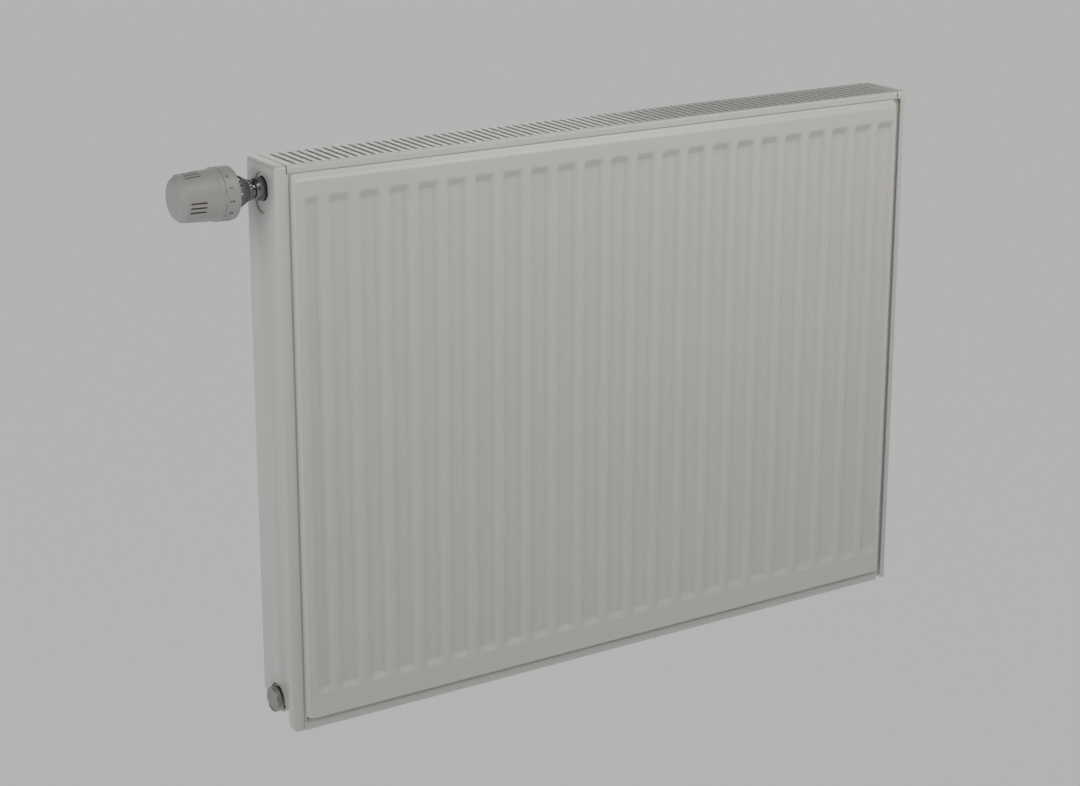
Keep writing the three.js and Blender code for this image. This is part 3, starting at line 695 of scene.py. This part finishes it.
def side_cover(name, side, replaced, lip_width, foot_corner):
    """A side plate folded round to a front lip, a top flange and a rear lip, with its two cut-outs."""
    out, lip, flange, rear = (side * (-LEFT_END - w) for w in (0, lip_width, TOP_FLANGE, REAR_LIP))
    y0, y1, strip = LIP_PLANE, COVER_REAR, LIP_PLANE + FRONT_STRIP
    lip_top = TOP - LIP_WIDTH - LIP_TOP_GAP
    cover = folded_sheet(
        name,
        [
            [(out, y0, BOTTOM), (lip, y0, BOTTOM), (lip, y0, lip_top), (flange, y0, lip_top),
             (flange, y0, TOP), (out, y0, TOP)],
            [(out, y0, BOTTOM), (out, strip, BOTTOM), (out, strip, COVER_BOTTOM),
             (out, y1, COVER_BOTTOM), (out, y1, TOP), (out, y0, TOP)],
            [(out, y0, TOP), (flange, y0, TOP), (flange, y1, TOP), (rear, y1, TOP), (out, y1, TOP)],
            [(out, y1, COVER_BOTTOM), (out, y1, TOP), (rear, y1, TOP), (rear, y1, COVER_BOTTOM)],
        ],
        FOLD,
    )
    span = sorted([out + side * SHEET * 2, out - side * SHEET * 2])
    valve = obround(
        MID_DEPTH,
        VALVE_NOTCH_HALF,
        TAPPING_HEIGHT - VALVE_NOTCH_BELOW,
        TAPPING_HEIGHT + VALVE_NOTCH_ABOVE,
        24,
    )
    plug = arc((MID_DEPTH, -TAPPING_HEIGHT), PLUG_NOTCH, 0, 360, 64)[:-1]
    rounded = arc((-LEFT_END - foot_corner, BOTTOM + foot_corner), foot_corner, 0, -90, 10)
    waste = [(-LEFT_END + WASTE_MARGIN, BOTTOM + foot_corner)] + rounded + [
        (-LEFT_END - foot_corner, BOTTOM - WASTE_MARGIN),
        (-LEFT_END + WASTE_MARGIN, BOTTOM - WASTE_MARGIN),
    ]
    solids = [
        prism(valve, 0, *span),
        prism(plug, 0, *span),
        prism([(side * a, b) for a, b in waste], 1, y0 - WASTE_MARGIN, strip + WASTE_MARGIN),
    ]
    cut(cover, joined_object("cover_waste", solids))
    eased(cover, COVER_EASE)
    baked(cover)
    return dressed(cover, "paint", "radiator", [replaced], sharp=38)


side_cover("side_cover_left_folded", -1, "side_cover_left", LEFT_LIP_WIDTH, SHEET_CORNER)
side_cover("side_cover_right_folded", 1, "side_cover_right", LIP_WIDTH, RIGHT_FOOT_CORNER)


# ---------------------------------------------------------------- top grille

SLOTS = 78
SLOT_PITCH = 9.75
SLOT_HALF = 1.9
SLOT_FRONT = LIP_PLANE + 5.6
SLOT_REAR = COVER_REAR - 4.4
GRILLE_FOLD = 2.5
GRILLE_SEAM = 0.9
GRILLE_EASE = 0.2

grille_half = grille_high.x - GRILLE_SEAM
rear_half = grille_half - REAR_LIP
lip_foot = grille_low.z
grille = folded_sheet(
    "top_grille_slotted",
    [
        [(-grille_half, LIP_PLANE, lip_foot), (grille_half, LIP_PLANE, lip_foot),
         (grille_half, LIP_PLANE, TOP), (-grille_half, LIP_PLANE, TOP)],
        [(-grille_half, LIP_PLANE, TOP), (grille_half, LIP_PLANE, TOP), (grille_half, COVER_REAR, TOP),
         (rear_half, COVER_REAR, TOP), (-rear_half, COVER_REAR, TOP), (-grille_half, COVER_REAR, TOP)],
        [(-rear_half, COVER_REAR, TOP), (rear_half, COVER_REAR, TOP),
         (rear_half, COVER_REAR, lip_foot), (-rear_half, COVER_REAR, lip_foot)],
    ],
    GRILLE_FOLD,
    segments=6,
)
slot_solids = []
for number in range(SLOTS):
    centre = (number - (SLOTS - 1) / 2) * SLOT_PITCH
    outline = obround(centre, SLOT_HALF, SLOT_FRONT, SLOT_REAR, 6)
    slot_solids.append(prism(outline, 2, TOP - 3 * SHEET, TOP + SHEET))
cut(grille, joined_object("slot_waste", slot_solids))
eased(grille, GRILLE_EASE, segments=1)
baked(grille)
dressed(grille, "paint", "grille", ["top_grille"], sharp=38)


# ---------------------------------------------------------------- plugs and vent

# Radius of the smooth cylinder that stands for a thread, and the place of a seal against the boss.
THREAD = 9.7
SEAT = -0.9
SPOUT_SIDES = 32
SPOUT_AXIS = 8.8
SPOUT_RINGS = ((-8.0, 2.4), (-12.5, 2.5), (-14.6, 2.75), (-15.0, 2.55), (-15.0, 1.5), (-11.0, 1.4))
KEY_HALF = 2.5
KEY_SPAN = (12.8, 16.8)
KEY_EASE = 0.45

for side, end in ((-1, "left"), (1, "right")):
    plug = turned(
        f"blind_plug_{end}",
        side,
        -TAPPING_HEIGHT,
        [(0, -20), (THREAD, -20, 0.8), (THREAD, SEAT, 0.1), (13.3, SEAT, 0.4), (13.3, 6.6, 0.9),
         (11.6, 6.6, 0.2), (11.2, 6.1, 0.2), (0, 6.1)],
    )
    dressed(plug, "nickel", "radiator", [f"blind_plug_bottom_{end}"], sharp=40)

vent = turned(
    "vent_plug",
    1,
    TAPPING_HEIGHT,
    [(2.5, -20), (THREAD, -20, 0.8), (THREAD, SEAT, 0.1), (13, SEAT, 0.4), (13, 5.2, 0.9), (6, 5.2, 0.2),
     (6, 12.5, 0.5), (2.5, 12.5, 0.2)],
)
dressed(vent, "nickel", "radiator", ["vent_plug_body"], sharp=40)

outlet = turned(
    "vent_outlet_collar",
    1,
    TAPPING_HEIGHT,
    [(6.15, 5.5, 0.3), (9.4, 5.5, 0.8), (9.4, 12, 1.2), (6.15, 12, 0.3)],
    segments=64,
)
spout_local = []
for level, radius in SPOUT_RINGS:
    for i in range(SPOUT_SIDES):
        angle = 2 * math.pi * i / SPOUT_SIDES
        spout_local.append((radius * math.cos(angle), SPOUT_AXIS + radius * math.sin(angle), level))
ring_starts = range(0, len(spout_local), SPOUT_SIDES)
spout_faces = [list(range(start, start + SPOUT_SIDES)) for start in (ring_starts[0], ring_starts[-1])]
for near, far in zip(ring_starts, ring_starts[1:]):
    for i in range(SPOUT_SIDES):
        j = (i + 1) % SPOUT_SIDES
        spout_faces.append([near + i, near + j, far + j, far + i])
spout = new_object("spout", in_tapping(1, TAPPING_HEIGHT, spout_local), spout_faces)
cut(outlet, spout, operation="UNION")
dressed(outlet, "white_plastic", "vent_outlet_ring", ["vent_outlet"], sharp=35)

screw = turned(
    "vent_screw_shank",
    1,
    TAPPING_HEIGHT,
    [(0, -8), (2.35, -8, 0.4), (2.35, 13.4, 0.3), (0, 13.4)],
    segments=48,
)
key_outline = [(-KEY_HALF, -KEY_HALF), (KEY_HALF, -KEY_HALF), (KEY_HALF, KEY_HALF), (-KEY_HALF, KEY_HALF)]
key_points, key_faces = prism(key_outline, 1, *KEY_SPAN)
key = new_object("vent_key_square", in_tapping(1, TAPPING_HEIGHT, key_points), key_faces)
eased(key, KEY_EASE, segments=3)
baked(key)
cut(screw, key, operation="UNION")
dressed(screw, "brass", "vent_key", ["vent_screw"], sharp=35)


# ---------------------------------------------------------------- valve and its head

insert = turned(
    "valve_insert_turned",
    -1,
    TAPPING_HEIGHT,
    [(6.5, -24), (THREAD, -24, 0.8), (THREAD, SEAT, 0.1), (11.6, SEAT, 1.6), (11.6, 9.5, 2.6),
     (8.2, 9.5, 0.6), (8.2, 27, 0.5), (2.1, 27), (2.1, 9.5), (6.5, 9.5)],
)
dressed(insert, "dark_chrome", "radiator", ["valve_insert"], sharp=40)

RIBS = 24
RIB_DEPTH = 0.9
RIB_START = 13.5
RIB_FADE = 3.0
RIB_POWER = 0.6
NUT_BORE = 10.6
NUT_MOUTH = 27
NUT_MOUTH_RADIUS = 15.5


def nut_ribs(radius, outward, angle):
    """Rounded ribs that run along the outside of the nut's cone."""
    if radius < NUT_BORE or (outward > NUT_MOUTH and radius < NUT_MOUTH_RADIUS):
        return radius
    fade = min(max((outward - RIB_START) / RIB_FADE, 0), 1)
    valley = 0.5 - 0.5 * math.cos(RIBS * angle)
    return radius - RIB_DEPTH * fade * valley**RIB_POWER


nut = turned(
    "union_nut_ribbed",
    -1,
    TAPPING_HEIGHT,
    [(8.5, 12), (10.2, 12, 0.7), (11.2, 16.5, 1.5), (16.7, 26, 2.0), (17.6, 31, 0.8), (15, 31),
     (15, 27.3), (8.5, 27.3)],
    segments=288,
    ribs=nut_ribs,
)
dressed(nut, "dark_chrome", "radiator", ["union_nut"], sharp=40)

head = turned(
    "scale_ring",
    -1,
    TAPPING_HEIGHT,
    [(3.1, 27.6), (14.7, 27.6), (14.7, 31.3, 0.1), (23, 31.3, 1.0), (26.4, 33.4, 1.4), (27, 36.5, 1.0),
     (27, 48, 0.5), (24.3, 48, 0.3), (24.3, 37), (18.5, 37), (18.5, 57), (22.7, 57, 0.3),
     (22.7, 59.5, 0.3), (18.5, 59.5), (18.5, 66, 0.4), (16, 66), (16, 37), (3.1, 37)],
    segments=128,
)
dressed(head, "white_plastic", "radiator", ["head_base"], sharp=40)

HANDLE_SLOT_CENTRE = 76.0
HANDLE_SLOT_LENGTH = 17.0
HANDLE_SLOT_WIDTH = 2.0
HANDLE_SLOT_PITCH = 4.8
HANDLE_SLOT_SPAN = (-32.0, -19.5)
HANDLE_GROUPS = 4
HANDLE_FIRST_GROUP = -15.0
POINTER_BEHIND = 28.2
POINTER_LENGTH = 2.6
POINTER_HALF = 4.5
POINTER_SPAN = (-27.7, -26.2)
POINTER_EASE = 0.5

cap = turned(
    "handle_cap",
    -1,
    TAPPING_HEIGHT,
    [(0, 91.6), (18, 90.4, 1.5), (20.6, 84, 2.0), (23.2, 64), (23.2, 48.3, 0.3), (27, 48.3, 0.5),
     (27, 52.6, 0.9), (25.8, 55.2, 1.6), (24.9, 70), (23.7, 87.4, 0.5), (22.6, 88.4, 0.3),
     (20.2, 91.8, 1.2), (17.5, 93.4, 1.2), (0, 93.9)],
    segments=144,
)


def turned_about(angle, points):
    """Local points turned about the outward axis by an angle in degrees."""
    c, s = math.cos(math.radians(angle)), math.sin(math.radians(angle))
    return [(x * c + z * s, y, -x * s + z * c) for x, y, z in points]


slot_cutters = []
half_length, half_width = HANDLE_SLOT_LENGTH / 2, HANDLE_SLOT_WIDTH / 2
for group in range(HANDLE_GROUPS):
    for line in (-1, 0, 1):
        outline = obround(line * HANDLE_SLOT_PITCH, half_width, -half_length, half_length, 6)
        outline = [(HANDLE_SLOT_CENTRE + b, a) for a, b in outline]
        points, faces = prism(outline, 0, *HANDLE_SLOT_SPAN)
        points = turned_about(HANDLE_FIRST_GROUP + 360 / HANDLE_GROUPS * group, points)
        slot_cutters.append((in_tapping(-1, TAPPING_HEIGHT, points), faces))
cut(cap, joined_object("handle_slots", slot_cutters))

pointer_foot = HANDLE_SLOT_CENTRE - POINTER_BEHIND
pointer_tip = pointer_foot + POINTER_LENGTH
pointer_outline = [
    (pointer_foot, -POINTER_HALF),
    (pointer_tip, -POINTER_HALF),
    (pointer_tip, POINTER_HALF),
    (pointer_foot, POINTER_HALF),
]
pointer_points, pointer_faces = prism(pointer_outline, 0, *POINTER_SPAN)
pointer = new_object("pointer", in_tapping(-1, TAPPING_HEIGHT, pointer_points), pointer_faces)
eased(pointer, POINTER_EASE, segments=3)
baked(pointer)
cut(cap, pointer, operation="UNION")
without_slivers(cap)
dressed(cap, "white_plastic", "turning_handle", ["handle"], sharp=35)

NUMERAL_HEIGHT = 4.2
NUMERAL_FIRST = 50.0
NUMERAL_STEP = -28.0
NUMERAL_LEVEL = 42.5
NUMERAL_RELIEF = 0.12
NUMERAL_GAP = 0.05
FONT_SIZE_SHARE = 1.45
RING_RADIUS = 27.0
numeral_solids = []
for place, text in enumerate(("*", "1", "2", "3", "4", "5")):
    writing = bpy.data.curves.new("numeral", "FONT")
    writing.body = text
    writing.size = NUMERAL_HEIGHT * FONT_SIZE_SHARE
    writing.align_x = "CENTER"
    writing.align_y = "CENTER"
    writing.extrude = NUMERAL_RELIEF
    writing.resolution_u = 3
    holder = bpy.data.objects.new("numeral", writing)
    bpy.context.scene.collection.objects.link(holder)
    graph = bpy.context.evaluated_depsgraph_get()
    flat = bpy.data.meshes.new_from_object(holder.evaluated_get(graph))
    middle = math.radians(NUMERAL_FIRST + NUMERAL_STEP * place)
    points = []
    for vertex in flat.vertices:
        a, b, lift = vertex.co
        angle = middle + a / RING_RADIUS
        radius = RING_RADIUS + NUMERAL_GAP + lift
        points.append((-radius * math.cos(angle), NUMERAL_LEVEL + b, radius * math.sin(angle)))
    faces = [list(polygon.vertices) for polygon in flat.polygons]
    numeral_solids.append((in_tapping(-1, TAPPING_HEIGHT, points), faces))
    bpy.data.objects.remove(holder)
numerals = joined_object("scale_numerals", numeral_solids)
dressed(numerals, "rubber", "radiator", look=PRINT, sharp=30)


# ---------------------------------------------------------------- carried-over CAD nodes

slot_of_node = {s["node"]: s.get("material_slot", "paint") for s in frame["record"]["subparts"]}
for node, kept in frame["nodes"].items():
    if kept.hide_render:
        continue
    look = LOOK_OF_SLOT[slot_of_node.get(node, "paint")]
    kept.data.materials.clear()
    kept.data.materials.append(look)
    if node.startswith(("hanging_lug", "bottom_connection")):
        eased(kept, 0.5, segments=3, angle=50)


# ---------------------------------------------------------------- stage, light and camera

# Metres here. The softboxes leave the floor out, so that it stays one even tone in every view.
FLOOR_DROP = 0.95
FLOOR_REACH = 60.0
FLOOR_TONE = 0.6
FLOOR_ROUGHNESS = 0.9
FLOOR_GLOW = 0.402
WORLD_LIGHT = 0.08

floor_z = cad_box[0].z - FLOOR_DROP
floor_corners = [
    (a * FLOOR_REACH, b * FLOOR_REACH, floor_z)
    for a, b in ((-1, -1), (1, -1), (1, 1), (-1, 1))
]
floor_mesh = bpy.data.meshes.new("floor")
floor_mesh.from_pydata(floor_corners, [], [(0, 1, 2, 3)])
floor = bpy.data.objects.new("floor", floor_mesh)
bpy.context.scene.collection.objects.link(floor)
floor_look, _, floor_shader, _ = new_material("pale_floor")
floor_shader.inputs["Base Color"].default_value = (FLOOR_TONE, FLOOR_TONE, FLOOR_TONE, 1)
floor_shader.inputs["Roughness"].default_value = FLOOR_ROUGHNESS
floor_shader.inputs["Specular IOR Level"].default_value = 0.0
floor_shader.inputs["Emission Color"].default_value = (1, 1, 1, 1)
floor_shader.inputs["Emission Strength"].default_value = FLOOR_GLOW
floor.data.materials.append(floor_look)

world = bpy.data.worlds.new("studio")
bpy.context.scene.world = world
world.use_nodes = True
world.node_tree.nodes["Background"].inputs["Color"].default_value = (1, 1, 1, 1)
world.node_tree.nodes["Background"].inputs["Strength"].default_value = WORLD_LIGHT

unlit = bpy.data.collections.new("unlit_by_softboxes")
unlit.objects.link(floor)
unlit.collection_objects[0].light_linking.link_state = "EXCLUDE"


def softbox(name, place, target, width, height, power, colour):
    """A rectangular area light aimed at a point, which lights everything but the floor."""
    light = bpy.data.lights.new(name, "AREA")
    light.shape = "RECTANGLE"
    light.size = width
    light.size_y = height
    light.energy = power
    light.color = colour
    holder = bpy.data.objects.new(name, light)
    bpy.context.scene.collection.objects.link(holder)
    holder.location = place
    aim = Vector(target) - Vector(place)
    holder.rotation_mode = "QUATERNION"
    holder.rotation_quaternion = aim.to_track_quat("-Z", "Y")
    holder.light_linking.receiver_collection = unlit


WARM = (1.0, 0.985, 0.94)
NEUTRAL = (1.0, 1.0, 1.0)
softbox("overhead", (0.3, -0.8, 1.38), (0.1, -0.08, 0.0), 1.4, 0.6, 6.8, WARM)
softbox("glint", (0.88, -1.4, 1.13), (0, -0.08, -0.2), 1.1, 0.4, 2.2, WARM)
softbox("left_fill", (-2.2, -0.65, 0.95), (-0.3, 0, 0.1), 1.8, 1.8, 13.0, NEUTRAL)
softbox("right_fill", (2.2, -1.1, 0.3), (0, 0, 0), 2.0, 2.0, 1.5, NEUTRAL)
softbox("rear_fill", (0.5, 2.3, 0.7), (0, 0, 0), 2.0, 2.0, 11.0, NEUTRAL)

scene = bpy.context.scene
scene.view_settings.view_transform = "Standard"

IMAGE_WIDTH = 1080
SENSOR_WIDTH = 36.0
FOCAL_PIXELS = 2229
SHIFT_PIXELS = (-5, -100)
CAMERA_PLACE = (-1.302, -2.002, 0.751)
CAMERA_YAW = 31.90
CAMERA_PITCH = 15.28
camera_data = bpy.data.cameras.new("camera")
camera_data.sensor_width = SENSOR_WIDTH
camera_data.lens = FOCAL_PIXELS / IMAGE_WIDTH * SENSOR_WIDTH
camera_data.shift_x = -SHIFT_PIXELS[0] / IMAGE_WIDTH
camera_data.shift_y = SHIFT_PIXELS[1] / IMAGE_WIDTH
camera = bpy.data.objects.new("camera", camera_data)
scene.collection.objects.link(camera)
camera.location = CAMERA_PLACE
camera.rotation_euler = (math.radians(90 - CAMERA_PITCH), 0, math.radians(-CAMERA_YAW))
scene.camera = camera
